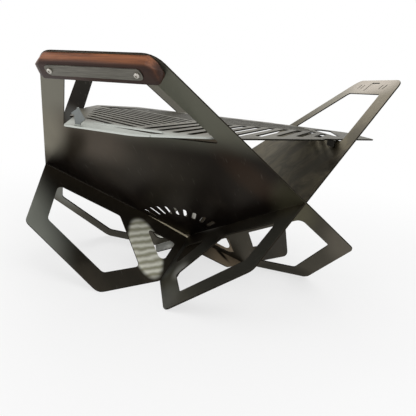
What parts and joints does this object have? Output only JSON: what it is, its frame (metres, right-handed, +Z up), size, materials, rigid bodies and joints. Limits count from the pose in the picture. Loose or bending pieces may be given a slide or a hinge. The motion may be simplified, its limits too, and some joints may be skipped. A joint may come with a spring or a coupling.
{
  "type": "flat-pack charcoal grill",
  "caption": "Three notched steel sheets lock into a three-sided fire bowl on open loop legs, with a slotted cooking grate in the windows and a wooden grip.",
  "frame": {"origin": "middle of the box around the whole part, at the ground", "axes": "+Z up; -X toward the sheet with the grip; +Y to the left as seen from the grip side"},
  "size_m": [0.5505, 0.5736, 0.3206],
  "materials": {
    "sheet_steel": "blackened",
    "grate_steel": "satin",
    "grip_wood": "satin lacquer",
    "plate_steel": "brushed",
    "fastener_steel": "satin"
  },
  "bodies": {
    "stand": {"front_sheet": "sheet_steel", "right_sheet": "sheet_steel", "left_sheet": "sheet_steel", "grip": "grip_wood", "grip_plate": "plate_steel", "grip_screws": "fastener_steel", "grip_nuts": "fastener_steel"},
    "grate": {"cooking_grate": "grate_steel"}
  },
  "joints": [
    {"name": "grate_lift", "type": "slide", "parent": "stand", "child": "grate", "axis": [0, 0, 1], "range_m": [0, 0.045]}
  ]
}
